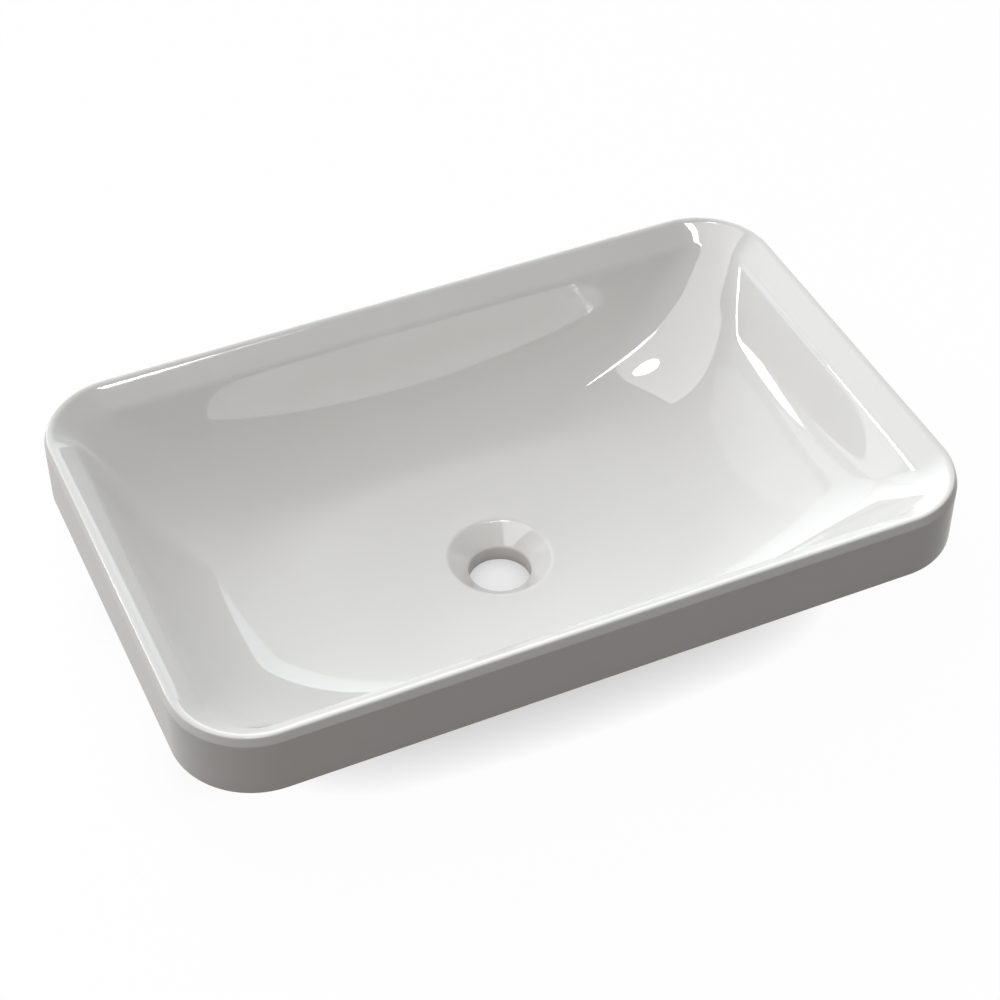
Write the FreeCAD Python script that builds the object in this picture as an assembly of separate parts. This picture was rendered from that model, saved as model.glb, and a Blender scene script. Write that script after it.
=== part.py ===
import FreeCAD, Part
import math
import os
from collections import namedtuple

# Semi-recessed wash basin in vitreous china, with the clamps that hold it to a worktop.
# Millimetres. X runs along the width, -Y is the front, +Z is up. The origin is below the
# middle of the rim, on the flat underside of the waste boss.

Vector = FreeCAD.Vector

# ---- rim and skirt ----
width = 580.0                 # rim, end to end
depth = 375.0                 # rim, front to back
height = 129.0                # underside of the waste boss to the crest of the rim
corner_radius = 59.0          # plan radius of the rim's corners
lip_height = 6.4              # band at the top of the skirt that leans inwards
lip_lean = 2.1                # how far the band leans in, up to the crest
lip_blend = 1.2               # length that its rounding into the crest takes on each side
shoulder_blend = 0.7          # the same where the band meets the skirt
skirt_height = 51.5           # glazed wall that stands on the worktop
skirt_wall = 11.0             # width of the ceramic ring under the skirt
hollow_height = 22.0          # hollow behind the skirt, above its foot

# ---- inside of the bowl ----
crest_width = 3.8             # from the top of the lip to where the rim turns inwards
crest_blend = 2.5             # length that the crest's rounding takes on each side
crest_fall = 0.02             # fall of the rim's flat towards the bowl
ridge_inset = 22.5            # ridge between the rim's slope and the bowl's wall
ridge_drop = 13.6
ridge_blend = 3.8
wall_run_ends = 46.0          # how far the walls lean in between the ridge and the floor
wall_run_sides = 27.0
floor_drop = 97.5             # rim crest to the corner of wall and floor
floor_corner_radius = 100.0   # plan radius of that corner
floor_bow = 8.0               # degrees that the floor's sides turn between middle and corner
floor_blend = 65.0            # length that the hollow of wall and floor takes on each side
bowl_wall = 9.0               # thickness of the china below the rim

# ---- waste ----
waste_setback = -5.5          # waste axis from the middle of the rim, along Y
waste_drop = 102.9            # rim crest to the rim of the waste's cone
cone_radius = 38.5
cone_depth = 13.0
hole_radius = 23.0            # standard 46 mm waste hole
dish_radius = 51.0            # lowest part of the floor, round the cone
boss_radius = 50.0            # waste boss, flat underneath

# ---- seal under the skirt ----
seal_width = 6.0
seal_thickness = 2.0
seal_setback = 2.5            # from the skirt's outer face

# ---- worktop clamps ----
claw_gap = 1.0                # least gap from a parked claw to the bowl's outer wall
clamp_spacing = 160.0         # front stud to back stud
clamp_boss_radius = 11.0
clamp_boss_drop = 15.5        # underside of the china boss below the skirt's foot
socket_radius = 5.0
socket_depth = 14.0
socket_collar_radius = 7.0
socket_collar = 1.5
socket_bore_depth = 12.0
stud_radius = 3.0             # M6
stud_proud = 1.0              # stud left below the nut at the thickest worktop
stud_chamfer = 0.6
thread_clearance = 0.05
claw_width = 16.0
claw_reach = 40.0             # stud axis to the claw's outer face
claw_thickness = 3.0
claw_lip = 5.0                # height of the turned-up end above the bar
claw_hole_clearance = 0.4
pad_cover = 3.0               # rubber round the claw's turned-up end
worktop_least = 12.0          # thinnest worktop; the clamps are parked at it
worktop_most = 38.0
washer_radius = 8.0
washer_thickness = 1.6
washer_clearance = 0.2
nut_hub_radius = 5.6
nut_hub_height = 8.0
wing_radius = 15.0
wing_thickness = 2.6
wing_height = 7.0
wing_drop = 2.4               # how far the wings stand below the hub

# ---- derived places ----
foot_z = height - skirt_height
hollow_top_z = foot_z + hollow_height
seal_z = foot_z - seal_thickness
boss_z = foot_z - clamp_boss_drop
collar_z = boss_z - socket_collar
stud_top_z = collar_z + socket_bore_depth
pad_top_z = seal_z - worktop_least
claw_top_z = pad_top_z - pad_cover - claw_lip
claw_z = claw_top_z - claw_thickness
washer_z = claw_z - washer_thickness
nut_z = washer_z - nut_hub_height
wing_z = nut_z - wing_drop
clamp_travel = worktop_most - worktop_least
stud_end_z = wing_z - clamp_travel - stud_proud
cone_foot_z = height - waste_drop - cone_depth
stud_y = clamp_spacing / 2

os.makedirs("parts", exist_ok=True)


def save(name, shape):
    """Write one node, with a line on its size."""
    shape.exportStep(os.path.join("parts", name + ".step"))
    print(f"{name:22s} solids {len(shape.Solids)} valid {shape.isValid()} volume {shape.Volume / 1000:9.2f} cm3")


def cylinder(radius, length, x, y, z):
    """Upright cylinder standing on z."""
    return Part.makeCylinder(radius, length, Vector(x, y, z))


def box(size_x, size_y, size_z, x, y, z):
    """Upright box, centred on x and y and standing on z."""
    return Part.makeBox(size_x, size_y, size_z, Vector(x - size_x / 2, y - size_y / 2, z))


# ---- outlines and lofts ----
# One outline of the bowl or rim: half its width and depth, the radius of its corners, the bow
# of its sides in degrees, its height and where its middle lies along Y.

Level = namedtuple("Level", "half_x half_y radius bow z middle")


def corner_centre(level):
    """Middle of the corner arc, in the quarter where X and Y are positive."""
    turn = math.radians(level.bow)
    lean = math.tan(turn) / 2
    arc_share = level.radius * (math.cos(turn) + lean * math.sin(turn))
    along = level.half_x - arc_share
    across = level.half_y - arc_share
    spread = 1 - lean ** 2
    return (along - lean * across) / spread, (across - lean * along) / spread


def side(start, end, bow):
    """Side between two corner arcs, straight or curved outwards by its bow."""
    if not bow:
        return Part.LineSegment(start, end).toShape()
    chord = end - start
    outwards = Vector(chord.y, -chord.x, 0) * (math.tan(math.radians(bow)) / 2)
    curve = Part.BezierCurve()
    curve.setPoles([start, (start + end) * 0.5 + outwards, end])
    return curve.toShape()


def outline(level):
    """Wire of four corner arcs with a side between each two."""
    centre_x, centre_y = corner_centre(level)
    arcs = []
    for quarter, (right, back) in enumerate(((1, 1), (-1, 1), (-1, -1), (1, -1))):
        centre = Vector(right * centre_x, back * centre_y + level.middle, level.z)
        spokes = [math.radians(90 * quarter + turn) for turn in (level.bow, 45, 90 - level.bow)]
        points = [centre + Vector(math.cos(spoke), math.sin(spoke), 0) * level.radius for spoke in spokes]
        arcs.append(Part.Arc(*points))
    edges = []
    for arc, following in zip(arcs, arcs[1:] + arcs[:1]):
        edges.append(arc.toShape())
        edges.append(side(arc.EndPoint, following.StartPoint, level.bow))
    return Part.Wire(edges)


def inset(amount, z):
    """Level that follows the rim's outline, inside it by one amount all round."""
    return Level(width / 2 - amount, depth / 2 - amount, corner_radius - amount, 0.0, z, 0.0)


def mix(first, second, share):
    """Level that lies the given share of the way from the first to the second."""
    return Level(*(a + (b - a) * share for a, b in zip(first, second)))


def run_between(first, second):
    """Length of the profile between two levels, seen in section."""
    lean = (abs(first.half_x - second.half_x) + abs(first.half_y - second.half_y)) / 2
    return math.hypot(lean, first.z - second.z)


def rounded_profile(corners, blends, steps):
    """Straight and rounded stretches of a profile, each a list of levels.

    The inner corners are rounded by the given lengths, each in the given number of steps.
    """
    stretches = []
    last = corners[0]
    for before, corner, after, blend, count in zip(corners, corners[1:], corners[2:], blends, steps):
        start = mix(corner, before, blend / run_between(before, corner))
        end = mix(corner, after, blend / run_between(corner, after))
        stretches.append([last, start])
        shares = [step / count for step in range(count + 1)]
        stretches.append([mix(mix(start, corner, share), mix(corner, end, share), share) for share in shares])
        last = end
    stretches.append([last, corners[-1]])
    return stretches


def loft(stretches):
    """Solid through the outlines of the levels, smooth along each rounded stretch."""
    faces = [Part.Face(outline(stretches[0][0])), Part.Face(outline(stretches[-1][-1]))]
    for levels in stretches:
        straight = len(levels) == 2
        faces += Part.makeLoft([outline(level) for level in levels], False, straight).Faces
    shell = Part.makeShell(faces)
    shell.sewShape()
    solid = Part.makeSolid(shell)
    if solid.Volume < 0:
        solid.reverse()
    return solid


def ring(outer_inset, ring_width, z, ring_height):
    """Upright ring that follows the rim's outline."""
    outer = Part.Face(outline(inset(outer_inset, z))).extrude(Vector(0, 0, ring_height))
    inner = Part.Face(outline(inset(outer_inset + ring_width, z))).extrude(Vector(0, 0, ring_height))
    return outer.cut(inner)


# ---- the china ----

ridge = inset(ridge_inset, height - ridge_drop)
floor_corner = Level(ridge.half_x - wall_run_ends, ridge.half_y - wall_run_sides,
                     floor_corner_radius, floor_bow, height - floor_drop, 0.0)
dish = Level(dish_radius, dish_radius, dish_radius, floor_bow, height - waste_drop, waste_setback)


def outside_of_wall():
    """Upper and lower level of the bowl's outer wall, the china's thickness from the inner one."""
    slope_ends = math.atan2(ridge.z - floor_corner.z, wall_run_ends)
    slope_sides = math.atan2(ridge.z - floor_corner.z, wall_run_sides)
    out = bowl_wall / math.sin(slope_ends)
    low = bowl_wall * math.tan(slope_ends / 2)
    top = Level(ridge.half_x + out, ridge.half_y + bowl_wall / math.sin(slope_sides),
                ridge.radius + out, 0.0, ridge.z, 0.0)
    corner = Level(floor_corner.half_x + low, floor_corner.half_y + bowl_wall * math.tan(slope_sides / 2),
                   floor_corner.radius + low, floor_bow, floor_corner.z - bowl_wall, 0.0)
    return top, corner


outer_top, outer_corner = outside_of_wall()
pad_share = (outer_top.z - pad_top_z) / (outer_top.z - outer_corner.z)
stud_x = mix(outer_top, outer_corner, pad_share).half_x + claw_gap + claw_width / 2


def bowl_space():
    """Everything that is open inside the rim, down to the flat round the waste."""
    crest = inset(lip_lean, height + crest_fall)
    turn = inset(lip_lean + crest_width, height)
    corners = [crest, turn, ridge, floor_corner, dish]
    return loft(rounded_profile(corners, [crest_blend, ridge_blend, floor_blend], [4, 3, 6]))


def bowl_outside():
    """The bowl's outer form, down to the level of the waste boss."""
    under = dish._replace(z=dish.z - bowl_wall)
    return loft(rounded_profile([outer_top, outer_corner, under], [floor_blend + bowl_wall], [6]))


def rim_block():
    """The rim and skirt, solid inside and hollow below."""
    corners = [inset(0.0, foot_z), inset(0.0, height - lip_height),
               inset(lip_lean, height), inset(ridge_inset, height - crest_fall)]
    block = loft(rounded_profile(corners, [shoulder_blend, lip_blend], [2, 3]))
    hollow = Part.Face(outline(inset(skirt_wall, foot_z))).extrude(Vector(0, 0, hollow_height))
    return block.cut(hollow)


def clamp_places():
    """Each clamp's name, with the signs of its X and Y."""
    for right, side_name in ((-1, "left"), (1, "right")):
        for back, end_name in ((-1, "front"), (1, "back")):
            yield side_name + "_" + end_name, right, back


def basin_body():
    """The whole fired piece: rim, skirt, bowl, waste boss and clamp bosses."""
    china = [bowl_outside(), cylinder(boss_radius, height - waste_drop - bowl_wall / 2, 0, waste_setback, 0)]
    for _, right, back in clamp_places():
        china.append(cylinder(clamp_boss_radius, hollow_top_z + 1 - boss_z,
                              right * stud_x, back * stud_y, boss_z))
    cone = Part.makeCone(hole_radius, cone_radius, cone_depth, Vector(0, waste_setback, cone_foot_z))
    hole = cylinder(hole_radius, height, 0, waste_setback, -1)
    hollows = [bowl_space(), cone, hole]
    for _, right, back in clamp_places():
        hollows.append(cylinder(socket_radius, socket_depth, right * stud_x, back * stud_y, boss_z))
    body = rim_block().multiFuse(china)
    for space in hollows:
        body = body.cut(space)
    return body.removeSplitter()


# ---- one clamp ----

def socket(x, y):
    """Nylon plug in the china boss, bored for the stud."""
    plug = cylinder(socket_radius, socket_depth, x, y, boss_z)
    collar = cylinder(socket_collar_radius, socket_collar, x, y, collar_z)
    bore = cylinder(stud_radius + thread_clearance, socket_bore_depth, x, y, collar_z)
    return plug.fuse(collar).cut(bore).removeSplitter()


def stud(x, y):
    """Threaded stud with chamfered ends."""
    rod = cylinder(stud_radius, stud_top_z - stud_end_z, x, y, stud_end_z)
    ends = [edge for edge in rod.Edges if edge.BoundBox.ZLength < 0.01]
    return rod.makeChamfer(stud_chamfer, ends)


def claw(x, y, back):
    """Steel bar with a round end on the stud and its far end turned up."""
    far = claw_reach - pad_cover
    bar = box(claw_width, far, claw_thickness, x, y - back * far / 2, claw_z)
    eye = cylinder(claw_width / 2, claw_thickness, x, y, claw_z)
    lip = box(claw_width, claw_thickness, claw_thickness + claw_lip,
              x, y - back * (far - claw_thickness / 2), claw_z)
    hole = cylinder(stud_radius + claw_hole_clearance, claw_thickness, x, y, claw_z)
    return bar.fuse([eye, lip]).cut(hole).removeSplitter()


def pad(x, y, back):
    """Rubber cap over the claw's turned-up end."""
    middle = y - back * (claw_reach - pad_cover - claw_thickness / 2)
    cap = box(claw_width, claw_thickness + 2 * pad_cover, claw_lip + pad_cover, x, middle, claw_top_z)
    upright = [edge for edge in cap.Edges if edge.BoundBox.ZLength > claw_lip]
    cap = cap.makeFillet(pad_cover / 3, upright)
    slot = box(claw_width, claw_thickness, claw_lip, x, middle, claw_top_z)
    return cap.cut(slot).removeSplitter()


def washer(x, y):
    """Plain washer between the claw and the nut."""
    disc = cylinder(washer_radius, washer_thickness, x, y, washer_z)
    return disc.cut(cylinder(stud_radius + washer_clearance, washer_thickness, x, y, washer_z))


def wing_nut(x, y):
    """Nut with two wings, which stand along Y as parked."""
    hub = cylinder(nut_hub_radius, nut_hub_height, x, y, nut_z)
    wings = box(wing_thickness, 2 * wing_radius, wing_height, x, y, wing_z)
    tips = [edge for edge in wings.Edges if edge.BoundBox.XLength > wing_thickness / 2]
    wings = wings.makeFillet(wing_height / 2 - 0.1, tips)
    bore_radius = stud_radius + thread_clearance
    bore = cylinder(bore_radius, nut_hub_height + wing_drop, x, y, wing_z)
    notch = cylinder(nut_hub_radius - 1, wing_drop, x, y, wing_z)
    return hub.fuse(wings.cut(notch)).cut(bore).removeSplitter()


# ---- all nodes ----

save("basin_body", basin_body())
save("foot_seal", ring(seal_setback, seal_width, seal_z, seal_thickness))
for name, right, back in clamp_places():
    x = right * stud_x
    y = back * stud_y
    save(name + "_socket", socket(x, y))
    save(name + "_stud", stud(x, y))
    save(name + "_claw", claw(x, y, back))
    save(name + "_pad", pad(x, y, back))
    save(name + "_washer", washer(x, y))
    save(name + "_wing_nut", wing_nut(x, y))
print(f"studs at {stud_x:.2f}, {stud_y:.2f}, clamp pads at {pad_top_z:.1f}, travel {clamp_travel:.1f}, "
      f"studs end at {stud_end_z:.1f}")
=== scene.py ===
"""Dressed model of a semi-recessed wash basin with its foot seal and worktop clamps.

Sizes are in millimetres until a mesh is made; every object is in metres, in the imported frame.
"""
import logging
import math
from dataclasses import astuple, dataclass, replace
from enum import Enum

import bmesh
import bpy
from mathutils import Matrix, Quaternion, Vector


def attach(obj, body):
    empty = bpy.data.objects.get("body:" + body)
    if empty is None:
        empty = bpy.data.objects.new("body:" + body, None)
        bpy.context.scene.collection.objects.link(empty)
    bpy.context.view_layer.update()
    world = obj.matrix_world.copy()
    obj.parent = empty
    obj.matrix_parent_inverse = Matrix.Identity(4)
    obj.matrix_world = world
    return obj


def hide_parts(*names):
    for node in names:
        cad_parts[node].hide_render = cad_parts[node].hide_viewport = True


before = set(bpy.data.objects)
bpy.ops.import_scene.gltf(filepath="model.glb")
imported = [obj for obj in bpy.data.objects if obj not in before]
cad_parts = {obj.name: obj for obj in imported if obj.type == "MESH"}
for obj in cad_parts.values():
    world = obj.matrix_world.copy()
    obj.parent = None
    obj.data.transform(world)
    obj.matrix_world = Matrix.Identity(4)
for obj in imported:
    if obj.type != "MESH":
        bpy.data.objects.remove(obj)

LOG = logging.getLogger("basin")
MM = 0.001
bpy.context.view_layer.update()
SEAM = 1e-6                     # metres within which the two edges of a seam become one
PATCH_DETAIL = 3.0              # octaves of the noise in a finish's colour
GRAIN_DETAIL = 2.0              # octaves of the noise in its relief
MIRROR_SHARE = 0.65             # share of the floor's white that shows in reflections

Tree = bpy.types.NodeTree
Node = bpy.types.Node
Socket = bpy.types.NodeSocket
Piece = bpy.types.Object
Values = dict[str | int, object]
Point = tuple[float, float]


# ---- nodes ----

def add_node(tree: Tree, kind: str, settings: Values | None = None,
             inputs: Values | None = None) -> Node:
    """Adds a node with its settings and links.

    Args:
        tree: Node tree that takes the node.
        kind: Blender's name for the type of node.
        settings: Values of the node's own properties, by name.
        inputs: A value, an output socket or a Field for each input, by name or number.

    Returns:
        The new node.
    """
    node = tree.nodes.new(kind)
    for name, value in (settings or {}).items():
        setattr(node, name, value)
    for key, value in (inputs or {}).items():
        source = value.socket if isinstance(value, Field) else value
        if isinstance(source, Socket):
            tree.links.new(source, node.inputs[key])
        else:
            node.inputs[key].default_value = source
    return node


@dataclass(frozen=True)
class Field:
    """A number that nodes work out; arithmetic on it adds Math nodes to its tree."""

    tree: Tree
    socket: Socket

    def math(self, operation: str, *others: "Field | float") -> "Field":
        """Applies one of the Math node's operations to this number and the others.

        Args:
            operation: Blender's name for the operation.
            others: Second and third number, where the operation has them.

        Returns:
            The result.
        """
        inputs = dict(enumerate((self, *others)))
        node = add_node(self.tree, "ShaderNodeMath", {"operation": operation}, inputs)
        return Field(self.tree, node.outputs[0])

    def __add__(self, other: "Field | float") -> "Field":
        """Sum."""
        return self.math("ADD", other)

    def __sub__(self, other: "Field | float") -> "Field":
        """Difference."""
        return self.math("SUBTRACT", other)

    def __mul__(self, other: "Field | float") -> "Field":
        """Product."""
        return self.math("MULTIPLY", other)

    def __truediv__(self, other: "Field | float") -> "Field":
        """Quotient."""
        return self.math("DIVIDE", other)


def separate(tree: Tree, vector: Socket) -> tuple[Field, Field, Field]:
    """Splits a vector socket into its three numbers."""
    parts = add_node(tree, "ShaderNodeSeparateXYZ", inputs={0: vector}).outputs
    return Field(tree, parts[0]), Field(tree, parts[1]), Field(tree, parts[2])


def linear(colour: str) -> tuple[float, float, float, float]:
    """Turns an sRGB hex colour into the linear values that a shader takes.

    Args:
        colour: Six hex digits.

    Returns:
        Linear red, green and blue, and an alpha of 1.
    """
    shares = [int(colour[start:start + 2], 16) / 255 for start in (0, 2, 4)]
    red, green, blue = (share / 12.92 if share <= 0.04045 else ((share + 0.055) / 1.055) ** 2.4
                        for share in shares)
    return red, green, blue, 1.0


# ---- finishes ----

class Slot(Enum):
    """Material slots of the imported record."""

    CHINA = "glazed_china"
    FOAM = "seal_foam"
    NYLON = "nylon"
    ZINC = "zinc_steel"
    RUBBER = "pad_rubber"


@dataclass(frozen=True)
class Finish:
    """A surface whose colour, gloss and relief vary with one noise of a real size."""

    name: str
    light: str                  # sRGB colour of the lighter patches
    dark: str                   # sRGB colour of the darker patches
    patch: float                # width of a patch, mm
    roughness: tuple[float, float]
    relief: float               # height of the bump, mm
    relief_grain: float         # width of the bump's grain, mm
    ior: float = 1.5
    metallic: float = 0.0
    cells: bool = False         # relief of rounded cells instead of noise

    def material(self) -> bpy.types.Material:
        """Returns the finish's material, made on the first call."""
        known = bpy.data.materials.get(self.name)
        if known:
            return known
        material = bpy.data.materials.new(self.name)
        material.use_nodes = True
        tree = material.node_tree
        surface = tree.nodes["Principled BSDF"]
        surface.inputs["IOR"].default_value = self.ior
        surface.inputs["Metallic"].default_value = self.metallic
        self.dress(tree, surface)
        return material

    def dress(self, tree: Tree, surface: Node) -> None:
        """Links the colour, roughness and relief of a material's principled shader."""
        place = add_node(tree, "ShaderNodeTexCoord").outputs["Object"]
        patches = add_node(tree, "ShaderNodeTexNoise", inputs={
            "Vector": place, "Scale": 1 / (self.patch * MM), "Detail": PATCH_DETAIL}).outputs[0]
        colour = add_node(tree, "ShaderNodeMix", {"data_type": "RGBA"}, {
            0: patches, 6: linear(self.dark), 7: linear(self.light)}).outputs[2]
        low, high = self.roughness
        roughness = Field(tree, patches) * (high - low) + low
        relief = {"Vector": place, "Scale": 1 / (self.relief_grain * MM)}
        if self.cells:
            grain = add_node(tree, "ShaderNodeTexVoronoi", {"feature": "SMOOTH_F1"}, relief)
        else:
            grain = add_node(tree, "ShaderNodeTexNoise",
                             inputs={**relief, "Detail": GRAIN_DETAIL})
        bump = add_node(tree, "ShaderNodeBump", inputs={
            "Height": grain.outputs[0], "Distance": self.relief * MM, "Strength": 1.0}).outputs[0]
        sockets = {"Base Color": colour, "Roughness": roughness.socket, "Normal": bump}
        for name, socket in sockets.items():
            tree.links.new(socket, surface.inputs[name])


# Vitreous china under a clear glaze: white with a trace of warmth, mirror-bright, and the mirror
# is very slightly wavy because the glaze was sprayed and flowed. The index is higher than that
# of most glazes, for reflections as strong as the photograph's.
GLAZE = Finish("Glazed vitreous china", "f1efec", "ebe9e6", 70, (0.02, 0.05), 0.02, 22, ior=1.8)
# The same china where it was wiped clean of glaze to stand in the kiln: dull, creamy, sandy.
BISCUIT = Finish("Wiped biscuit foot", "ddd5c6", "cfc5b3", 9, (0.75, 0.9), 0.05, 0.9)
# Closed-cell polyethylene foam: mid grey, dull, with cells that show as a fine pebble.
FOAM = Finish("Closed-cell foam", "8b8c8f", "77787b", 4, (0.85, 0.95), 0.12, 1.1, cells=True)
# Moulded natural nylon: milky, waxy sheen, faint flow marks.
NYLON = Finish("Moulded natural nylon", "e9e5d8", "dcd7c8", 5, (0.35, 0.5), 0.01, 1.6, ior=1.53)
# Bright zinc plate on pressed steel: bluish silver with cloudy patches from the bath.
ZINC = Finish("Bright zinc plate", "d3d8dc", "b4babf", 5, (0.2, 0.38), 0.006, 0.7, metallic=1.0)
# Moulded synthetic rubber: charcoal, soft sheen, a grain from the eroded mould.
RUBBER = Finish("Moulded rubber", "2c2c2d", "202021", 3, (0.55, 0.72), 0.02, 0.5, ior=1.52)


# ---- profiles ----

@dataclass(frozen=True)
class Level:
    """One outline of a swept piece: a rectangle with round corners at one height, in mm."""

    half_x: float
    half_y: float
    radius: float               # of the corners
    z: float
    bow: float = 0.0            # degrees that a side turns between its middle and its corner
    middle: float = 0.0         # place of the outline's middle along Y
    bare: bool = False          # wiped clean of glaze

    def mixed(self, other: "Level", share: float) -> "Level":
        """Returns the level that lies a share of the way to another."""
        pairs = zip(astuple(self)[:-1], astuple(other)[:-1])
        return Level(*(mine + (yours - mine) * share for mine, yours in pairs))

    def run_to(self, other: "Level") -> float:
        """Returns the length of the section between this level and another."""
        lean = (abs(self.half_x - other.half_x) + abs(self.half_y - other.half_y)) / 2
        return math.hypot(lean, self.z - other.z)


@dataclass(frozen=True)
class Turn:
    """A corner of a section, rounded by a length on each side."""

    level: Level
    blend: float                # the length, mm
    steps: int = 4
    bare: bool = False          # wiped clean of glaze

    def rounded(self, before: Level, after: Level) -> list[Level]:
        """Returns the levels of the rounding, which is a parabola, from first to last."""
        start = self.level.mixed(before, self.blend / self.level.run_to(before))
        end = self.level.mixed(after, self.blend / self.level.run_to(after))
        levels = []
        for step in range(self.steps + 1):
            share = step / self.steps
            near, far = start.mixed(self.level, share), self.level.mixed(end, share)
            levels.append(replace(near.mixed(far, share), bare=self.bare))
        return levels


def closed_section(turns: list[Turn], longest: float) -> list[Level]:
    """Rounds the corners of a closed section and divides its straight runs.

    Args:
        turns: Corners in order.
        longest: Longest undivided run, mm.

    Returns:
        Levels in order; the last is followed by the first.
    """
    levels: list[Level] = []
    for before, turn, after in zip(turns[-1:] + turns[:-1], turns, turns[1:] + turns[:1]):
        rounding = turn.rounded(before.level, after.level)
        if levels:
            levels += divided(levels[-1], rounding[0], longest)
        levels += rounding
    return levels + divided(levels[-1], levels[0], longest)


def divided(first: Level, last: Level, longest: float) -> list[Level]:
    """Returns the levels between two others, none further apart than the longest run."""
    pieces = max(1, math.ceil(first.run_to(last) / longest))
    bare = first.bare and last.bare
    shares = [piece / pieces for piece in range(1, pieces)]
    return [replace(first.mixed(last, share), bare=bare) for share in shares]


# ---- meshes ----

def object_of(name: str, mesh: bpy.types.Mesh) -> Piece:
    """Puts a mesh in the scene as an object at the origin."""
    made = bpy.data.objects.new(name, mesh)
    bpy.context.scene.collection.objects.link(made)
    return made


def applied(made: Piece) -> Piece:
    """Turns an object's modifiers into plain mesh and removes them."""
    evaluated = made.evaluated_get(bpy.context.evaluated_depsgraph_get())
    mesh = bpy.data.meshes.new_from_object(evaluated)
    made.modifiers.clear()
    spare = made.data
    made.data = mesh
    mesh.name = made.name
    bpy.data.meshes.remove(spare)
    return made


def with_nodes(made: Piece, tree: Tree, inputs: Values) -> Piece:
    """Runs a geometry tree on an object and keeps the result as plain mesh.

    Args:
        made: Object whose mesh goes into the tree.
        tree: Geometry node tree.
        inputs: Value of each named input.

    Returns:
        The object with its new mesh.
    """
    modifier = made.modifiers.new(tree.name, "NODES")
    modifier.node_group = tree
    for item in tree.interface.items_tree:
        if item.item_type == "SOCKET" and item.in_out == "INPUT" and item.name in inputs:
            modifier[item.identifier] = inputs[item.name]
    made.update_tag()
    return applied(made)


def new_tree(name: str, inputs: dict[str, str]) -> tuple[Tree, dict[str, Field]]:
    """Starts a geometry tree.

    Args:
        name: The tree's name.
        inputs: Socket type of each named input after the geometry.

    Returns:
        The tree, and each input by name.
    """
    tree = bpy.data.node_groups.new(name, "GeometryNodeTree")
    for label, kind in {"Geometry": "NodeSocketGeometry", **inputs}.items():
        tree.interface.new_socket(label, in_out="INPUT", socket_type=kind)
    tree.interface.new_socket("Geometry", in_out="OUTPUT", socket_type="NodeSocketGeometry")
    start = add_node(tree, "NodeGroupInput")
    return tree, {label: Field(tree, start.outputs[label]) for label in ("Geometry", *inputs)}


def grid_places(tree: Tree, columns: Field, rows: Field) -> tuple[Field, Field, Field]:
    """Adds a grid; returns its mesh, and each point's column and row counted from 0."""
    grid = add_node(tree, "GeometryNodeMeshGrid", inputs={
        "Size X": columns, "Size Y": rows, "Vertices X": columns + 1, "Vertices Y": rows + 1})
    along, across, _ = separate(tree, add_node(tree, "GeometryNodeInputPosition").outputs[0])
    column = (along + columns / 2).math("ROUND")
    row = (across + rows / 2).math("ROUND")
    return Field(tree, grid.outputs["Mesh"]), column, row


def finish_tree(tree: Tree, mesh: Socket | Field) -> None:
    """Closes seams, smooths the shading and ends the tree."""
    merged = add_node(tree, "GeometryNodeMergeByDistance", inputs={
        "Geometry": mesh, "Distance": SEAM})
    smooth = add_node(tree, "GeometryNodeSetShadeSmooth", inputs={"Geometry": merged.outputs[0]})
    real = add_node(tree, "GeometryNodeRealizeInstances", inputs={"Geometry": smooth.outputs[0]})
    add_node(tree, "NodeGroupOutput", inputs={"Geometry": real.outputs[0]})


def attribute(tree: Tree, name: str, kind: str) -> Socket:
    """Adds the values that points carry under a name."""
    node = add_node(tree, "GeometryNodeInputNamedAttribute", {"data_type": kind}, {"Name": name})
    return node.outputs[0]


def sampled(tree: Tree, geometry: Field, value: Socket, index: Field, kind: str) -> Socket:
    """Adds the value of one point of a geometry, found by its number."""
    node = add_node(tree, "GeometryNodeSampleIndex", {"data_type": kind}, {
        "Geometry": geometry, "Value": value, "Index": index})
    return node.outputs[0]


def with_material(tree: Tree, geometry: Socket, material: Field,
                  chosen: Field | bool = True) -> Socket:
    """Adds a step that gives the chosen faces a material."""
    node = add_node(tree, "GeometryNodeSetMaterial", inputs={
        "Geometry": geometry, "Selection": chosen, "Material": material})
    return node.outputs[0]


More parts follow.
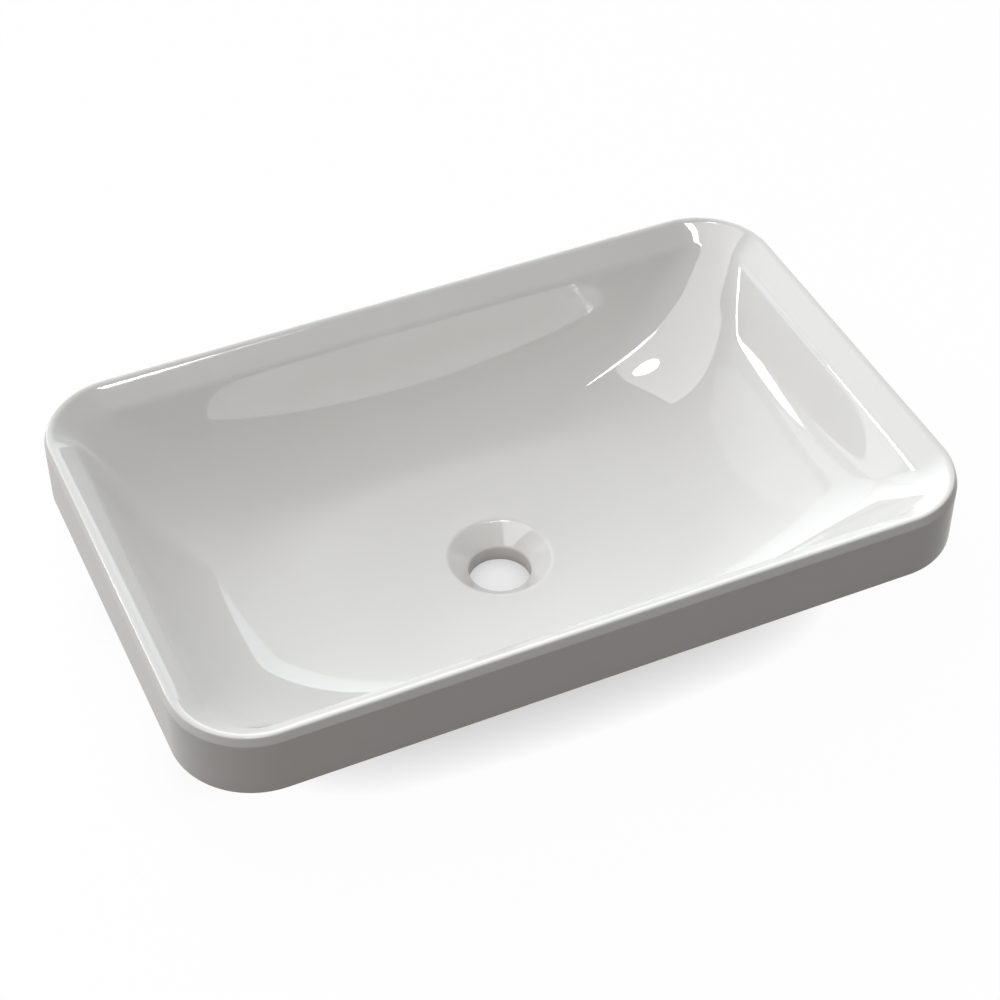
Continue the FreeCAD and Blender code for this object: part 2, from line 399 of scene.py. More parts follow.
def sweep_tree() -> Tree:
    """Tree that lays an outline through each level of a closed section.

    A level is a point at (half width, half depth, height) whose "shape" holds the corner's
    radius, the bow in radians and the middle along Y, and whose "bare" is 1 without glaze.
    """
    tree, given = new_tree("Outline sweep", {
        "Corner Steps": "NodeSocketInt", "Side Steps": "NodeSocketInt",
        "Glaze": "NodeSocketMaterial", "Biscuit": "NodeSocketMaterial"})
    section, corner, side = given["Geometry"], given["Corner Steps"], given["Side Steps"]
    quarter_steps = corner + side
    columns = quarter_steps * 4
    size = add_node(tree, "GeometryNodeAttributeDomainSize", inputs={0: section})
    rows = Field(tree, size.outputs["Point Count"])
    grid, column, row = grid_places(tree, columns, rows)
    index = row.math("MODULO", rows)
    places = add_node(tree, "GeometryNodeInputPosition").outputs[0]
    shapes = attribute(tree, "shape", "FLOAT_VECTOR")
    half_x, half_y, height = separate(tree, sampled(tree, section, places, index, "FLOAT_VECTOR"))
    radius, bow, middle = separate(tree, sampled(tree, section, shapes, index, "FLOAT_VECTOR"))

    # The middle of the corner's arc, seen along the quarter that the column lies in.
    around = column.math("MODULO", columns)
    quarter = (around / quarter_steps).math("FLOOR")
    step = around - quarter * quarter_steps
    odd = quarter.math("MODULO", 2.0)
    swap = (half_y - half_x) * odd
    lean = bow.math("TANGENT") / 2
    arc = radius * (bow.math("COSINE") + lean * bow.math("SINE"))
    ahead = half_x + swap - arc
    beside = half_y - swap - arc
    spread = lean * lean * -1 + 1
    centre_u = (ahead - lean * beside) / spread
    centre_v = (beside - lean * ahead) / spread

    # First the arc, then the side, which is a parabola that leaves the arc with the bow's lean.
    swung = (step / corner).math("MINIMUM", 1.0)
    angle = bow + (bow * -2 + math.pi / 2) * swung
    share = (step - corner).math("MAXIMUM", 0.0) / side
    end = centre_u + radius * bow.math("SINE")
    u = centre_u + radius * angle.math("COSINE") - share * end * 2
    v = centre_v + radius * angle.math("SINE") + share * (share * -1 + 1) * end * lean * 4
    facing = quarter * (math.pi / 2)
    x = u * facing.math("COSINE") - v * facing.math("SINE")
    y = u * facing.math("SINE") + v * facing.math("COSINE") + middle

    bare = attribute(tree, "bare", "FLOAT")
    marked = add_node(tree, "GeometryNodeStoreNamedAttribute", {"data_type": "FLOAT"}, {
        "Geometry": grid, "Name": "bare", "Value": sampled(tree, section, bare, index, "FLOAT")})
    place = add_node(tree, "ShaderNodeCombineXYZ", inputs={0: x, 1: y, 2: height})
    laid = add_node(tree, "GeometryNodeSetPosition", inputs={
        "Geometry": marked.outputs[0], "Position": place.outputs[0]})
    every_point = 0.9           # a face is wiped where all of its points are
    wiped = Field(tree, attribute(tree, "bare", "FLOAT")).math("GREATER_THAN", every_point)
    glazed = with_material(tree, laid.outputs[0], given["Glaze"])
    skin = with_material(tree, glazed, given["Biscuit"], wiped)
    outwards = add_node(tree, "GeometryNodeFlipFaces", inputs={"Mesh": skin})
    finish_tree(tree, outwards.outputs[0])
    return tree


def swept(name: str, section: list[Level], glaze: Finish, biscuit: Finish,
          corner_steps: int, side_steps: int) -> Piece:
    """Makes the closed solid that a section leaves as it goes round its outline.

    Args:
        name: Name of the piece.
        section: Levels of the closed section.
        glaze: Finish of the piece.
        biscuit: Finish where a level is bare.
        corner_steps: Faces round each corner.
        side_steps: Faces along each side.

    Returns:
        The piece.
    """
    mesh = bpy.data.meshes.new(name)
    points = [(level.half_x * MM, level.half_y * MM, level.z * MM) for level in section]
    mesh.from_pydata(points, [], [])
    mesh.attributes.new("shape", "FLOAT_VECTOR", "POINT")
    mesh.attributes.new("bare", "FLOAT", "POINT")
    shape, bare = mesh.attributes["shape"].data, mesh.attributes["bare"].data
    for index, level in enumerate(section):
        shape[index].vector = (level.radius * MM, math.radians(level.bow), level.middle * MM)
        bare[index].value = float(level.bare)
    tree = bpy.data.node_groups.get("Outline sweep") or sweep_tree()
    return with_nodes(object_of(name, mesh), tree, {
        "Corner Steps": corner_steps, "Side Steps": side_steps,
        "Glaze": glaze.material(), "Biscuit": biscuit.material()})


def thread_tree() -> Tree:
    """Tree that makes a threaded rod: one skin whose rows climb with the helix."""
    tree, given = new_tree("Threaded rod", {
        "Radius": "NodeSocketFloat", "Pitch": "NodeSocketFloat", "Thread Depth": "NodeSocketFloat",
        "Length": "NodeSocketFloat", "Chamfer": "NodeSocketFloat", "Columns": "NodeSocketInt",
        "Plate": "NodeSocketMaterial"})
    pitch, length, columns = given["Pitch"], given["Length"], given["Columns"]
    rows_a_turn = 6.0
    spare_turns = 4.0
    rows = ((length / pitch).math("CEIL") + spare_turns) * rows_a_turn
    grid, column, row = grid_places(tree, columns, rows)
    turns = row / rows_a_turn
    height = ((turns + column / columns - spare_turns / 2) * pitch).math("MAXIMUM", 0.0)
    height = height.math("MINIMUM", length)
    # Of the six rows of a turn the root takes two, a flank one, the crest two, a flank one.
    wave = ((turns.math("FRACT") - 0.5).math("ABSOLUTE") * -4 + 1.5).math("MINIMUM", 1.0)
    crest = given["Radius"] - given["Thread Depth"] * (wave.math("MAXIMUM", 0.0) * -1 + 1)
    from_end = height.math("MINIMUM", length - height)
    radius = crest.math("MINIMUM", given["Radius"] - given["Chamfer"] + from_end)
    skin = row.math("GREATER_THAN", 0.5) * (rows - row).math("GREATER_THAN", 0.5)
    angle = column / columns * math.tau
    place = add_node(tree, "ShaderNodeCombineXYZ", inputs={
        0: angle.math("COSINE") * radius * skin, 1: angle.math("SINE") * radius * skin, 2: height})
    rod = add_node(tree, "GeometryNodeSetPosition", inputs={
        "Geometry": grid, "Position": place.outputs[0]})
    finish_tree(tree, with_material(tree, rod.outputs[0], given["Plate"]))
    return tree


def rounded(points: list[tuple[float, float, float]], steps: int) -> list[Point]:
    """Rounds the corners of a closed outline.

    Args:
        points: Both coordinates of each corner, and the length its rounding takes on each side.
        steps: Parts of each rounding.

    Returns:
        Points of the rounded outline.
    """
    outline = []
    for before, corner, after in zip(points[-1:] + points[:-1], points, points[1:] + points[:1]):
        here = Vector(corner[:2])
        if not corner[2]:
            outline.append(tuple(here))
            continue
        start = here + (Vector(before[:2]) - here).normalized() * corner[2]
        end = here + (Vector(after[:2]) - here).normalized() * corner[2]
        for step in range(steps + 1):
            share = step / steps
            outline.append(tuple(start.lerp(here, share).lerp(here.lerp(end, share), share)))
    return outline


def mesh_of(name: str, shape: bmesh.types.BMesh) -> Piece:
    """Closes a bmesh, turns its faces outwards and puts it in the scene in metres."""
    bmesh.ops.remove_doubles(shape, verts=shape.verts[:], dist=SEAM / MM)
    bmesh.ops.recalc_face_normals(shape, faces=shape.faces[:])
    bmesh.ops.scale(shape, vec=Vector((MM, MM, MM)), verts=shape.verts[:])
    mesh = bpy.data.meshes.new(name)
    shape.to_mesh(mesh)
    shape.free()
    return object_of(name, mesh)


def turned(name: str, profile: list[Point], segments: int = 48) -> Piece:
    """Makes a turned piece on the Z axis.

    Args:
        name: Name of the piece.
        profile: Closed section as (radius, height).
        segments: Faces round the axis.

    Returns:
        The piece.
    """
    shape = bmesh.new()
    rings = []
    for step in range(segments):
        angle = math.tau * step / segments
        rings.append([shape.verts.new((radius * math.cos(angle), radius * math.sin(angle), height))
                      for radius, height in profile])
    for ring, following in zip(rings, rings[1:] + rings[:1]):
        for index in range(len(profile)):
            ahead = (index + 1) % len(profile)
            if profile[index][0] or profile[ahead][0]:
                shape.faces.new((ring[index], ring[ahead], following[ahead], following[index]))
    return mesh_of(name, shape)


def extruded(name: str, outline: list[Point], low: float, high: float, along_x: bool) -> Piece:
    """Makes a plate of one outline.

    Args:
        name: Name of the piece.
        outline: Closed outline, in YZ for a plate along X and in XY for one along Z.
        low: Lower end of the plate's thickness.
        high: Upper end.
        along_x: True for a plate along X, False for one along Z.

    Returns:
        The piece.
    """
    shape = bmesh.new()
    ends = []
    for depth in (low, high):
        points = [(depth, a, b) if along_x else (a, b, depth) for a, b in outline]
        ends.append([shape.verts.new(point) for point in points])
    shape.faces.new(ends[0])
    shape.faces.new(ends[1])
    for index in range(len(outline)):
        ahead = (index + 1) % len(outline)
        shape.faces.new((ends[0][index], ends[0][ahead], ends[1][ahead], ends[1][index]))
    return mesh_of(name, shape)


def combined(made: Piece, other: Piece, operation: str) -> Piece:
    """Unites, intersects or cuts a piece with another, which is used up."""
    modifier = made.modifiers.new(operation, "BOOLEAN")
    modifier.operation = operation
    modifier.solver = "MANIFOLD"
    modifier.object = other
    applied(made)
    spare = other.data
    bpy.data.objects.remove(other)
    bpy.data.meshes.remove(spare)
    return made


def eased(made: Piece, amount: float, segments: int = 2, crease: float = 35.0) -> Piece:
    """Bevels the edges of a piece and smooths its shading.

    Args:
        made: The piece.
        amount: Width of the bevel, mm.
        segments: Faces across it.
        crease: Least angle of an edge that is bevelled, degrees.

    Returns:
        The piece.
    """
    modifier = made.modifiers.new("Eased edges", "BEVEL")
    modifier.width = amount * MM
    modifier.segments = segments
    modifier.angle_limit = math.radians(crease)
    return shaded(applied(made))


def shaded(made: Piece, crease: float = 40.0) -> Piece:
    """Smooths the shading of a piece except over its sharp edges."""
    made.data.shade_smooth()
    made.data.set_sharp_from_angle(angle=math.radians(crease))
    return made


def dressed(made: Piece, finish: Finish) -> Piece:
    """Gives a piece one finish."""
    made.data.materials.clear()
    made.data.materials.append(finish.material())
    return made


def placed(made: Piece, body: str, slot: Slot, *nodes: str) -> None:
    """Tells the frame which body a piece rides on and which nodes it stands for."""
    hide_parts(*nodes)
    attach(made, body)
    LOG.info("%s: %d faces on %s", made.name, len(made.data.polygons), body)


# ---- the basin ----

@dataclass(frozen=True)
class Basin:
    """The fired piece and the seal under its skirt.

    Sizes are in millimetres. A blend is the length that a rounding takes on each side of its
    corner. Drops are measured down from the crest of the rim.
    """

    width: float = 580.0
    depth: float = 375.0
    height: float = 129.0
    corner_radius: float = 59.0
    lip_height: float = 6.4     # band at the top of the skirt that leans inwards
    lip_lean: float = 2.1
    lip_blend: float = 1.2
    shoulder_blend: float = 0.7  # where the band meets the skirt
    foot_z: float = 77.5
    foot_blend: float = 1.4
    skirt_wall: float = 11.0
    hollow_top_z: float = 99.5
    hollow_blend: float = 4.0
    hollow_foot_blend: float = 1.6
    crest_width: float = 3.8    # from the top of the band to where the rim turns inwards
    crest_blend: float = 2.5
    ridge_inset: float = 22.5   # ridge between the rim's slope and the bowl's wall
    ridge_drop: float = 13.6
    ridge_blend: float = 3.8
    wall_run_ends: float = 46.0  # how far the walls lean in between the ridge and the floor
    wall_run_sides: float = 27.0
    floor_drop: float = 97.5
    floor_corner_radius: float = 100.0
    floor_bow: float = 8.0
    floor_blend: float = 65.0
    bowl_wall: float = 9.0      # thickness of the china below the rim
    waste_setback: float = -5.5
    waste_drop: float = 102.9
    dish_radius: float = 51.0   # lowest part of the floor, round the cone
    dish_blend: float = 7.0
    cone_radius: float = 38.5
    cone_blend: float = 2.0
    cone_depth: float = 13.0
    hole_radius: float = 23.0
    hole_top_blend: float = 1.6
    hole_foot_blend: float = 0.8
    boss_radius: float = 50.0
    boss_root_blend: float = 3.0
    boss_foot_blend: float = 1.5
    seal_width: float = 6.0
    seal_thickness: float = 2.0
    seal_setback: float = 2.5
    seal_blend: float = 0.5

    def inset(self, amount: float, z: float) -> Level:
        """Returns the rim's outline, smaller by one amount all round."""
        half_x, half_y = self.width / 2 - amount, self.depth / 2 - amount
        return Level(half_x, half_y, self.corner_radius - amount, z)

    def circle(self, radius: float, z: float) -> Level:
        """Returns a circle round the waste."""
        return Level(radius, radius, radius, z, self.floor_bow, self.waste_setback)

    def inner_wall(self) -> tuple[Level, Level]:
        """Returns the ridge and the corner of wall and floor."""
        ridge = self.inset(self.ridge_inset, self.height - self.ridge_drop)
        corner = Level(ridge.half_x - self.wall_run_ends, ridge.half_y - self.wall_run_sides,
                       self.floor_corner_radius, self.height - self.floor_drop, self.floor_bow)
        return ridge, corner

    def outer_wall(self) -> tuple[Level, Level]:
        """Returns the top and the lower corner of the bowl's outside."""
        ridge, corner = self.inner_wall()
        runs = (self.wall_run_ends, self.wall_run_sides)
        slopes = [math.atan2(ridge.z - corner.z, run) for run in runs]
        out = [self.bowl_wall / math.sin(slope) for slope in slopes]
        low = [self.bowl_wall * math.tan(slope / 2) for slope in slopes]
        top = Level(ridge.half_x + out[0], ridge.half_y + out[1], ridge.radius + out[0], ridge.z)
        foot = Level(corner.half_x + low[0], corner.half_y + low[1], corner.radius + low[0],
                     corner.z - self.bowl_wall, self.floor_bow)
        return top, foot

    def section(self) -> list[Level]:
        """Returns the closed section of the china, from the hole up and round to the boss."""
        ridge, floor_corner = self.inner_wall()
        outer_top, outer_foot = self.outer_wall()
        dish_z = self.height - self.waste_drop
        hollow_share = (outer_top.z - self.hollow_top_z) / (outer_top.z - outer_foot.z)
        crest = self.inset(self.lip_lean + self.crest_width, self.height)
        shoulder = self.inset(0.0, self.height - self.lip_height)
        # Each corner with its blend and the number of faces across it.
        turns = [
            Turn(self.circle(self.hole_radius, 0.0), self.hole_foot_blend, bare=True),
            Turn(self.circle(self.hole_radius, dish_z - self.cone_depth), self.hole_top_blend, 6),
            Turn(self.circle(self.cone_radius, dish_z), self.cone_blend, 8),
            Turn(self.circle(self.dish_radius, dish_z), self.dish_blend, 6),
            Turn(floor_corner, self.floor_blend, 34),
            Turn(ridge, self.ridge_blend, 12),
            Turn(crest, self.crest_blend, 8),
            Turn(self.inset(self.lip_lean, self.height), self.lip_blend, 8),
            Turn(shoulder, self.shoulder_blend, 5),
            Turn(self.inset(0.0, self.foot_z), self.foot_blend, 5),
            Turn(self.inset(self.skirt_wall, self.foot_z), self.hollow_foot_blend, 5, bare=True),
            Turn(self.inset(self.skirt_wall, self.hollow_top_z), self.hollow_blend),
            Turn(outer_top.mixed(outer_foot, hollow_share), self.hollow_blend),
            Turn(outer_foot, self.floor_blend + self.bowl_wall, 20),
            Turn(self.circle(self.boss_radius, dish_z - self.bowl_wall), self.boss_root_blend),
            Turn(self.circle(self.boss_radius, 0.0), self.boss_foot_blend, bare=True),
        ]
        return closed_section(turns, longest=9.0)

    def inside_of_wall(self) -> Piece:
        """Returns a band that fills the bowl outwards to the middle of its wall's thickness."""
        band = 40.0
        faces = zip(self.inner_wall(), self.outer_wall())
        middles = [inner.mixed(outer, 0.5) for inner, outer in faces]
        within = [replace(level, half_x=level.half_x - band, half_y=level.half_y - band)
                  for level in middles]
        return swept("inside_of_wall", [*middles, *reversed(within)], GLAZE, GLAZE,
                     corner_steps=12, side_steps=12)

    def build(self, row: list["Clamp"]) -> None:
        """Makes the china, with a boss for each clamp, and the seal."""
        china = swept("basin_china", self.section(), GLAZE, BISCUIT,
                      corner_steps=30, side_steps=26)
        for clamp in row:
            boss = clamp.boss(self.hollow_top_z)
            boss.data.transform(moved(clamp.x, clamp.y))
            combined(boss, self.inside_of_wall(), "DIFFERENCE")
            combined(china, boss, "UNION")
        placed(shaded(china), "root", Slot.CHINA, "basin_body")

        inner = self.seal_setback + self.seal_width
        low = self.foot_z - self.seal_thickness
        corners = [(inner, low), (inner, self.foot_z),
                   (self.seal_setback, self.foot_z), (self.seal_setback, low)]
        turns = [Turn(self.inset(amount, z), self.seal_blend) for amount, z in corners]
        section = closed_section(turns, longest=2.0)
        seal = swept("foot_seal_foam", section, FOAM, FOAM, corner_steps=30, side_steps=60)
        placed(shaded(seal), "root", Slot.FOAM, "foot_seal")


# ---- one clamp ----

@dataclass(frozen=True)
class Clamp:
    """One worktop clamp and its china boss, made on the Z axis with the claw towards -Y.

    Sizes are in millimetres. An ease is the width of the bevel on a piece's edges.
    """

    name: str
    x: float
    y: float
    back: int                   # 1 behind the middle, -1 in front of it
    boss_radius: float = 11.0
    boss_z: float = 62.0
    boss_ease: float = 0.8
    socket_radius: float = 5.0
    socket_depth: float = 14.0
    collar_radius: float = 7.0
    collar: float = 1.5
    bore_radius: float = 3.05
    bore_depth: float = 12.0
    stud_radius: float = 3.0
    stud_low: float = 13.5
    stud_chamfer: float = 0.6
    thread_pitch: float = 1.0
    thread_depth: float = 0.54
    claw_width: float = 16.0
    claw_reach: float = 37.0
    claw_thickness: float = 3.0
    claw_z: float = 52.5
    claw_lip: float = 5.0
    claw_bend: float = 4.0      # outside of the bend under the lip
    claw_bend_inside: float = 1.4
    claw_hole_radius: float = 3.4
    claw_ease: float = 0.35
    pad_cover: float = 3.0
    pad_ribs: int = 4
    rib_height: float = 0.7
    washer_radius: float = 8.0
    washer_thickness: float = 1.6
    washer_clearance: float = 0.2
    nut_radius: float = 5.6
    nut_height: float = 8.0
    nut_collar: float = 1.6     # straight part of the hub, above its taper
    nut_taper: float = 0.9      # how much the hub's radius loses towards its foot
    small_ease: float = 0.3     # of the socket, pad, washer and hub
    wing_ease: float = 0.6
    wing_radius: float = 15.0
    wing_thickness: float = 2.6
    wing_drop: float = 2.4

    @property
    def collar_z(self) -> float:
        """Underside of the socket's collar."""
        return self.boss_z - self.collar

    @property
    def washer_z(self) -> float:
        """Underside of the washer."""
        return self.claw_z - self.washer_thickness

    @property
    def nut_z(self) -> float:
        """Underside of the nut's hub."""
        return self.washer_z - self.nut_height

    def boss(self, hollow_top_z: float) -> Piece:
        """Returns the china boss with its blind hole, up to just past the skirt's hollow."""
        overlap = 2.0
        top, hole_top = hollow_top_z + overlap, self.boss_z + self.socket_depth
        boss = turned("clamp_boss", [
            (0, top), (self.boss_radius, top), (self.boss_radius, self.boss_z),
            (self.socket_radius, self.boss_z), (self.socket_radius, hole_top), (0, hole_top)])
        return dressed(eased(boss, self.boss_ease, segments=3), GLAZE)

    def socket(self) -> Piece:
        """Returns the nylon plug with its collar and blind bore."""
        top = self.boss_z + self.socket_depth
        ceiling = self.collar_z + self.bore_depth
        plug = turned(self.name + "_nylon_socket", [
            (0, top), (self.socket_radius, top), (self.socket_radius, self.boss_z),
            (self.collar_radius, self.boss_z), (self.collar_radius, self.collar_z),
            (self.bore_radius, self.collar_z), (self.bore_radius, ceiling), (0, ceiling)])
        return dressed(eased(plug, self.small_ease), NYLON)

    def stud(self) -> Piece:
        """Returns the threaded stud."""
        name = self.name + "_threaded_stud"
        tree = bpy.data.node_groups.get("Threaded rod") or thread_tree()
        length = self.collar_z + self.bore_depth - self.stud_low
        rod = with_nodes(object_of(name, bpy.data.meshes.new(name)), tree, {
            "Radius": self.stud_radius * MM, "Pitch": self.thread_pitch * MM,
            "Thread Depth": self.thread_depth * MM, "Length": length * MM,
            "Chamfer": self.stud_chamfer * MM, "Columns": 20, "Plate": ZINC.material()})
        rod.data.transform(moved(0, 0, self.stud_low))
        return shaded(rod, crease=30.0)

    def claw(self) -> Piece:
        """Returns the pressed claw: a bar with a round eye, bent up at its far end."""
        low, far, thick = self.claw_z, -self.claw_reach, self.claw_thickness
        high = low + thick + self.claw_lip
        eye = self.claw_width / 2
        side = rounded([(eye, low, 0), (far, low, self.claw_bend), (far, high, 0),
                        (far + thick, high, 0), (far + thick, low + thick, self.claw_bend_inside),
                        (eye, low + thick, 0)], steps=8)
        claw = extruded(self.name + "_claw_plate", side, -eye, eye, along_x=True)
        beyond = 1.0            # how far the cutting pieces stand past the claw
        arc = [(eye * math.cos(math.radians(turn)), eye * math.sin(math.radians(turn)))
               for turn in range(0, 181, 6)]
        plan = [*arc, (-eye, far - beyond), (eye, far - beyond)]
        trim = extruded("plan", plan, low - beyond, high + beyond, along_x=False)
        combined(claw, trim, "INTERSECT")
        hole = turned("hole", [(0, low - beyond), (self.claw_hole_radius, low - beyond),
                               (self.claw_hole_radius, high), (0, high)], segments=32)
        combined(claw, hole, "DIFFERENCE")
        return dressed(eased(claw, self.claw_ease, crease=50.0), ZINC)

    def pad(self) -> Piece:
        """Returns the rubber cap with ribs on its face and a slot for the claw's end."""
        low = self.claw_z + self.claw_thickness
        slot = low + self.claw_lip
        top = slot + self.pad_cover
        groove = top - self.rib_height
        inner = -self.claw_reach + self.claw_thickness
        outer = -self.claw_reach
        near, far = inner + self.pad_cover, outer - self.pad_cover
        step = (near - far) / self.pad_ribs
        ribs = []
        for index in range(self.pad_ribs):
            start = far + step * index
            # A rib's foot and crest, as shares of the step from rib to rib.
            ribs += [(start + step * 0.1, groove, 0.2), (start + step * 0.3, top, 0.3),
                     (start + step * 0.7, top, 0.3), (start + step * 0.9, groove, 0.2)]
        side = rounded([(inner, low, 0), (inner, slot, 0.3), (outer, slot, 0.3), (outer, low, 0),
                        (far, low, 0.5), (far, groove, 0.15), *ribs, (near, groove, 0.15),
                        (near, low, 0.5)], steps=3)
        half = self.claw_width / 2
        cap = extruded(self.name + "_rubber_pad", side, -half, half, along_x=True)
        return dressed(eased(cap, self.small_ease, crease=60.0), RUBBER)

    def washer(self) -> Piece:
        """Returns the plain washer."""
        low, high = self.washer_z, self.claw_z
        hole = self.stud_radius + self.washer_clearance
        disc = turned(self.name + "_plain_washer", [
            (hole, low), (self.washer_radius, low), (self.washer_radius, high), (hole, high)])
        return dressed(eased(disc, self.small_ease), ZINC)

    def wing_nut(self) -> Piece:
        """Returns the nut: a tapered hub between two wings that flare outwards."""
        top, low = self.washer_z, self.nut_z
        foot = low - self.wing_drop
        waist = self.nut_radius - self.nut_taper
        hub = eased(turned(self.name + "_wing_nut_casting", [
            (self.bore_radius, top), (self.nut_radius, top),
            (self.nut_radius, top - self.nut_collar), (waist, low), (self.bore_radius, low)]),
            self.small_ease)
        # The wing's corners, from inside the hub out over the top and back along the foot.
        tip = self.wing_radius
        wing = rounded([(waist - 1, top - 3.6, 0), (9.0, top - 4.4, 2.0),
                        (tip - 1.6, top - 3.4, 1.4), (tip, top - 5.6, 1.5),
                        (tip, foot + 1.2, 1.2), (tip - 3.6, foot, 1.8),
                        (waist + 1.2, low + 1.4, 2.0), (waist - 1, low + 1.0, 0)], steps=6)
        half = self.wing_thickness / 2
        for turn in (1, -1):
            side = [(y * turn, z) for y, z in wing]
            blade = extruded("blade", side, -half, half, along_x=True)
            combined(hub, eased(blade, self.wing_ease, segments=3), "UNION")
        return dressed(shaded(hub), ZINC)

    def build(self) -> None:
        """Makes the six pieces, turned towards their claw's parked side."""
        carriage, clamp, nut = (self.name + part for part in ("_carriage", "_clamp", "_nut"))
        pieces = [
            (self.socket(), "root", Slot.NYLON, "_socket"),
            (self.stud(), "root", Slot.ZINC, "_stud"),
            (self.claw(), clamp, Slot.ZINC, "_claw"),
            (self.pad(), clamp, Slot.RUBBER, "_pad"),
            (self.washer(), carriage, Slot.ZINC, "_washer"),
            (self.wing_nut(), nut, Slot.ZINC, "_wing_nut")]
        for made, body, slot, node in pieces:
            made.data.transform(moved(self.x, self.y, half_turn=self.back < 0))
            placed(made, body, slot, self.name + node)


def clamps(stud_x: float = 258.309, stud_y: float = 80.0) -> list[Clamp]:
    """Returns the four clamps, named for their ends and sides, on the part's stud places."""
    return [Clamp(f"{side}_{end}", right * stud_x, back * stud_y, back)
            for side, right in (("left", -1), ("right", 1))
            for end, back in (("front", -1), ("back", 1))]


# ---- the studio ----

@dataclass(frozen=True)
class SoftBox:
    """A flat lamp aimed at the basin. Angles in degrees, lengths in metres."""

    name: str
    azimuth: float              # 0 in front of the basin, positive towards its right
    elevation: float
    distance: float
    size: tuple[float, float]   # across and up
    power: float                # watts
    colour: str = "ffffff"
    shape: str = "RECTANGLE"    # or ELLIPSE

    def build(self, aim_height: float = 0.1) -> None:
        """Makes the lamp, aimed at a height above the middle of the floor."""
        lamp = bpy.data.lights.new(self.name, "AREA")
        lamp.shape = self.shape
        lamp.size, lamp.size_y = self.size
        lamp.energy = self.power
        lamp.color = linear(self.colour)[:3]
        made = bpy.data.objects.new(self.name, lamp)
        bpy.context.scene.collection.objects.link(made)
        away = direction(self.azimuth, self.elevation)
        made.location = away * self.distance + Vector((0, 0, aim_height))
        made.rotation_mode = "QUATERNION"
        made.rotation_quaternion = (-away).to_track_quat("-Z", "Y")


LAMPS = (
    SoftBox("Low window", 180, 6, 4.0, (11.4, 0.98), 28.0, "f0f7ff"),
    SoftBox("Window", 180, 22, 4.0, (7.7, 1.12), 20.0, "e6f6ff"),
    SoftBox("Side window", -150, 40, 4.0, (2.0, 1.7), 4.0),
    SoftBox("Overhead", -80, 68, 3.0, (2.7, 2.4), 34.5),
    SoftBox("Right strip", 106, 9, 3.5, (2.5, 1.0), 2.8),
    SoftBox("Streak", -130, 16.5, 2.85, (0.42, 0.36), 5.5, shape="ELLIPSE"),
    SoftBox("Front", 5, 66.5, 2.9, (1.17, 0.14), 6.6, shape="ELLIPSE"),
    SoftBox("Top", -62, 83, 2.9, (0.5, 0.4), 7.2, shape="ELLIPSE"),
)


def direction(azimuth: float, elevation: float) -> Vector:
    """Returns the unit vector towards a place round the basin, from angles in degrees."""
    around, above = math.radians(azimuth), math.radians(elevation)
    level = math.cos(above)
    return Vector((math.sin(around) * level, -math.cos(around) * level, math.sin(above)))


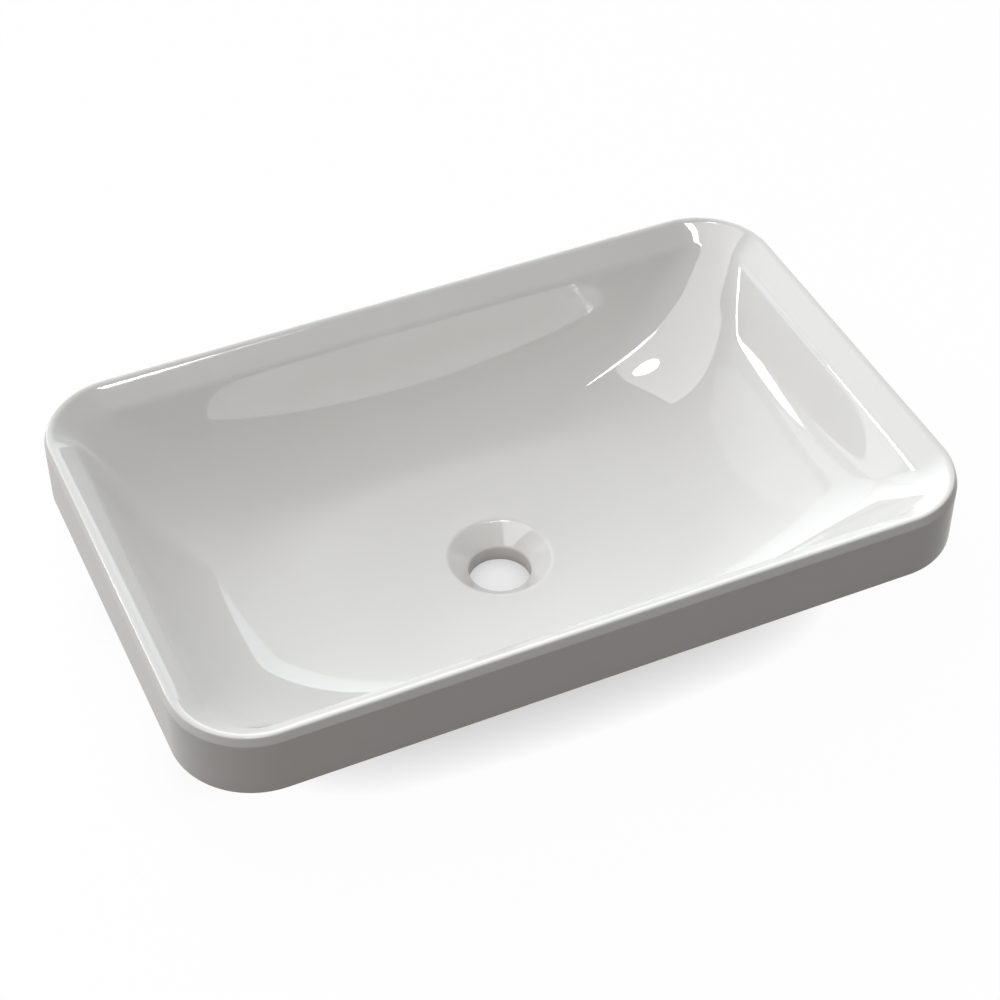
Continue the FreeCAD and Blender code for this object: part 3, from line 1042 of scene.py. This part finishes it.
@dataclass(frozen=True)
class Studio:
    """Camera, floor, surroundings and lamps. Angles in degrees."""

    target: tuple[float, float, float] = (-19.9, -49.4, 129.0)  # mm
    azimuth: float = -24.47
    elevation: float = 43.63
    roll: float = 0.05
    distance: float = 1673.2    # mm
    focal: float = 2.4263       # focal length over the picture's width
    sensor: float = 36.0        # mm
    floor_half: float = 6.0     # metres
    floor_gap: float = 0.0002   # metres, under the basin
    floor_bounce: str = "6c625a"  # colour of the floor for the light that it throws back
    floor_plain: float = 0.97   # share of the floor seen directly that no lamp lights
    # Painted shadow: the floor's white is darkened by ambient occlusion near the basin, over this
    # reach and down to this least brightness.
    painted_shadow_reach: float = 0.05  # metres over which the floor darkens towards the basin
    painted_shadow_least: float = 0.4  # brightness where the basin hides everything from the floor
    room_colour: str = "f9fdff"
    room_glow: float = 0.07     # all round
    back_glow: float = 1.98     # added behind the basin
    left_glow: float = 0.18     # added at its left

    def camera(self) -> None:
        """Places the camera where the photograph was taken from."""
        camera = bpy.data.cameras.new("Camera")
        camera.sensor_width = self.sensor
        camera.lens = self.focal * self.sensor
        made = bpy.data.objects.new("Camera", camera)
        bpy.context.scene.collection.objects.link(made)
        away = direction(self.azimuth, self.elevation)
        made.location = (Vector(self.target) + away * self.distance) * MM
        made.rotation_mode = "QUATERNION"
        level = (-away).to_track_quat("-Z", "Y")
        made.rotation_quaternion = level @ Quaternion((0, 0, 1), math.radians(self.roll))
        bpy.context.scene.camera = made

    def floor(self) -> None:
        """Lays a floor that is seen as white, keeps the basin's shadow, mostly as a painted shadow
        from ambient occlusion, and throws back little.
        """
        half, low = self.floor_half, -self.floor_gap
        mesh = bpy.data.meshes.new("studio_floor")
        corners = [(-half, -half, low), (half, -half, low), (half, half, low), (-half, half, low)]
        mesh.from_pydata(corners, [], [(0, 1, 2, 3)])
        made = object_of("studio_floor", mesh)
        material = bpy.data.materials.new("White paper sweep")
        material.use_nodes = True
        tree = material.node_tree
        tree.nodes.clear()
        dim, paper = (add_node(tree, "ShaderNodeBsdfDiffuse", inputs={"Color": linear(colour)})
                      for colour in (self.floor_bounce, "ffffff"))
        # Painted shadow: ambient occlusion near the basin lowers the strength of the white that the
        # floor shows.
        near = add_node(tree, "ShaderNodeAmbientOcclusion",
                        inputs={"Distance": self.painted_shadow_reach}).outputs["AO"]
        painted_shadow_strength = Field(tree, near) * (1 - self.painted_shadow_least) + self.painted_shadow_least
        white = add_node(tree, "ShaderNodeEmission", inputs={"Strength": painted_shadow_strength})
        bright = mixed_shaders(tree, self.floor_plain, paper, white)
        shown = mixed_shaders(tree, seen_directly(tree), dim, bright)
        add_node(tree, "ShaderNodeOutputMaterial", inputs={0: shown.outputs[0]})
        mesh.materials.append(material)

    def world(self) -> None:
        """Sets surroundings that are seen as white and that light the basin mostly from behind."""
        world = bpy.data.worlds.new("Studio")
        bpy.context.scene.world = world
        world.use_nodes = True
        tree = world.node_tree
        tree.nodes.clear()
        place = add_node(tree, "ShaderNodeTexCoord").outputs["Generated"]
        right, back, _ = separate(tree, place)
        behind = back.math("MAXIMUM", 0.0)
        left = (right * -1.0).math("MAXIMUM", 0.0)
        glow = behind * behind * self.back_glow + left * left * self.left_glow + self.room_glow
        room = add_node(tree, "ShaderNodeBackground", inputs={0: linear(self.room_colour), 1: glow})
        white = add_node(tree, "ShaderNodeBackground", inputs={0: linear("ffffff"), 1: 1.0})
        camera = add_node(tree, "ShaderNodeLightPath").outputs["Is Camera Ray"]
        shown = mixed_shaders(tree, camera, room, white)
        add_node(tree, "ShaderNodeOutputWorld", inputs={0: shown.outputs[0]})

    def build(self) -> None:
        """Sets up everything that isn't part of the basin."""
        self.camera()
        self.floor()
        self.world()
        for box in LAMPS:
            box.build()
        bpy.context.scene.view_settings.view_transform = "Standard"


def mixed_shaders(tree: Tree, share: Field | Socket | float, first: Node, second: Node) -> Node:
    """Adds the mixture of two shaders; at a share of 1 it is the second."""
    return add_node(tree, "ShaderNodeMixShader", inputs={
        0: share, 1: first.outputs[0], 2: second.outputs[0]})


def seen_directly(tree: Tree) -> Field:
    """Returns 1 for rays from the camera or through glass, less from a mirror, 0 for others."""
    path = add_node(tree, "ShaderNodeLightPath").outputs
    glossy = Field(tree, path["Is Glossy Ray"]) * MIRROR_SHARE
    through = Field(tree, path["Is Transmission Ray"])
    return Field(tree, path["Is Camera Ray"]).math("MAXIMUM", glossy).math("MAXIMUM", through)


def moved(x: float, y: float, z: float = 0.0, half_turn: bool = False) -> Matrix:
    """Returns the move to a place in millimetres, after half a turn about Z where asked."""
    turn = Matrix.Rotation(math.pi, 4, "Z") if half_turn else Matrix.Identity(4)
    return Matrix.Translation(Vector((x, y, z)) * MM) @ turn


def main() -> None:
    """Builds the studio, the basin and its clamps."""
    logging.basicConfig(level=logging.INFO, format="%(name)s: %(message)s")
    Studio().build()
    row = clamps()
    Basin().build(row)
    for clamp in row:
        clamp.build()


if __name__ == "__main__":
    main()
